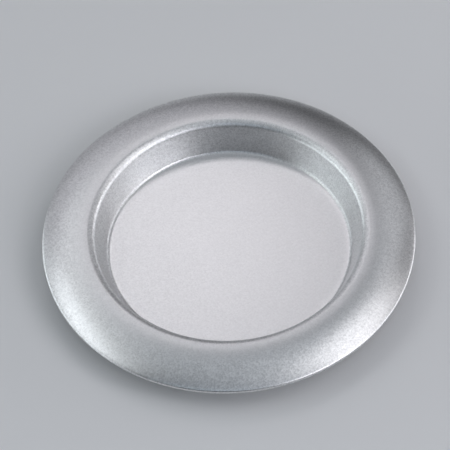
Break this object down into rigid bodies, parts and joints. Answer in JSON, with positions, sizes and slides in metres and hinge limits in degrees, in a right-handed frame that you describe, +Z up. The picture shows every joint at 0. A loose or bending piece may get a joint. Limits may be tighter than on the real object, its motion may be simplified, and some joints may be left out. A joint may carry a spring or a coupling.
{
  "type": "candle plate",
  "caption": "Shallow round metal dish with a flat floor, steep wall and broad domed rim with a curled edge, for a pillar candle to stand in.",
  "frame": {"origin": "centre of the surface that the felt pads stand on, on the plate's axis", "axes": "+Z up along the plate's axis, out of the well; +X and +Y run through the felt pads"},
  "size_m": [0.12, 0.12, 0.0123],
  "materials": {
    "silver_metal": "satin silver metallic, with a fine even grain",
    "felt": "pressed wool felt, matt"
  },
  "bodies": {
    "root": {"dish": "silver_metal", "felt_pad_front": "felt", "felt_pad_right": "felt", "felt_pad_back": "felt", "felt_pad_left": "felt"}
  },
  "joints": []
}
